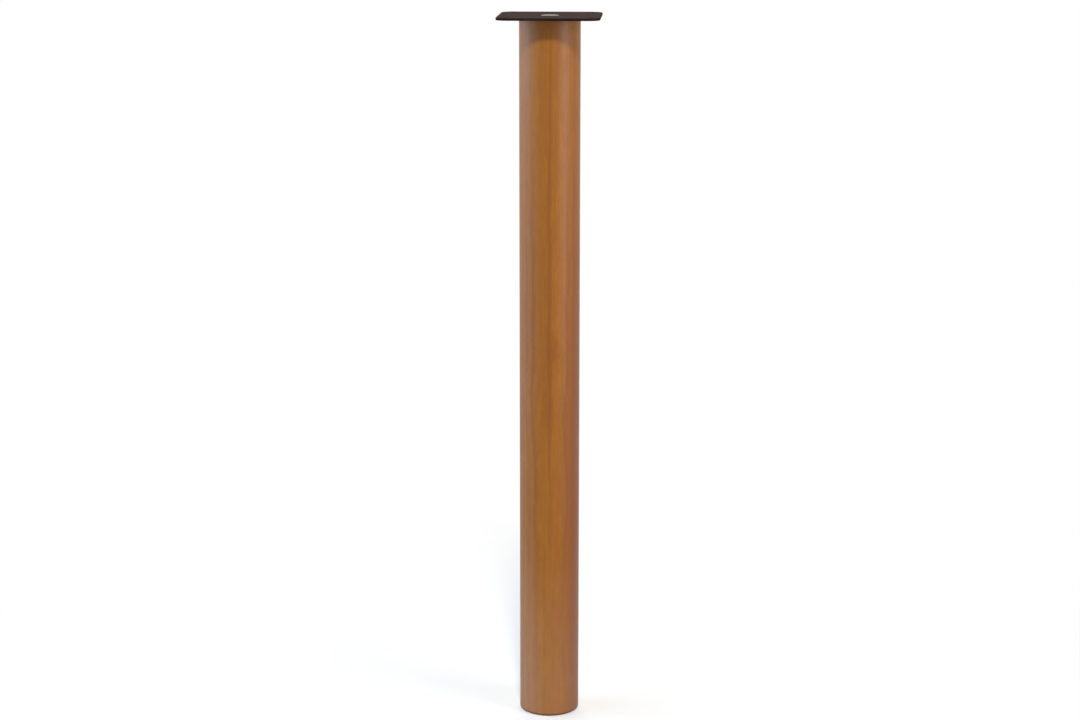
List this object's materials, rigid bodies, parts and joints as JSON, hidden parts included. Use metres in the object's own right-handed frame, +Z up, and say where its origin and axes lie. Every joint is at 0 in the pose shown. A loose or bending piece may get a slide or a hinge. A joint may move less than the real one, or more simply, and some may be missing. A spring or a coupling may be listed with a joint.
{
  "type": "wooden table leg",
  "caption": "Straight round satin wooden table leg with a thin dark square steel plate on top, which screws to the underside of a table.",
  "frame": {"origin": "middle of the foot, on the floor", "axes": "+Z up along the leg to the table top, X and Y along the sides of the plate"},
  "size_m": [0.1, 0.1, 0.71],
  "materials": {
    "lacquered_wood": "satin",
    "plate_paint": "satin",
    "screw_zinc": "satin",
    "insert_zinc": "satin"
  },
  "bodies": {
    "root": {"leg_column": "lacquered_wood", "mounting_plate": "plate_paint", "centre_screw": "screw_zinc", "threaded_insert": "insert_zinc"}
  },
  "joints": []
}
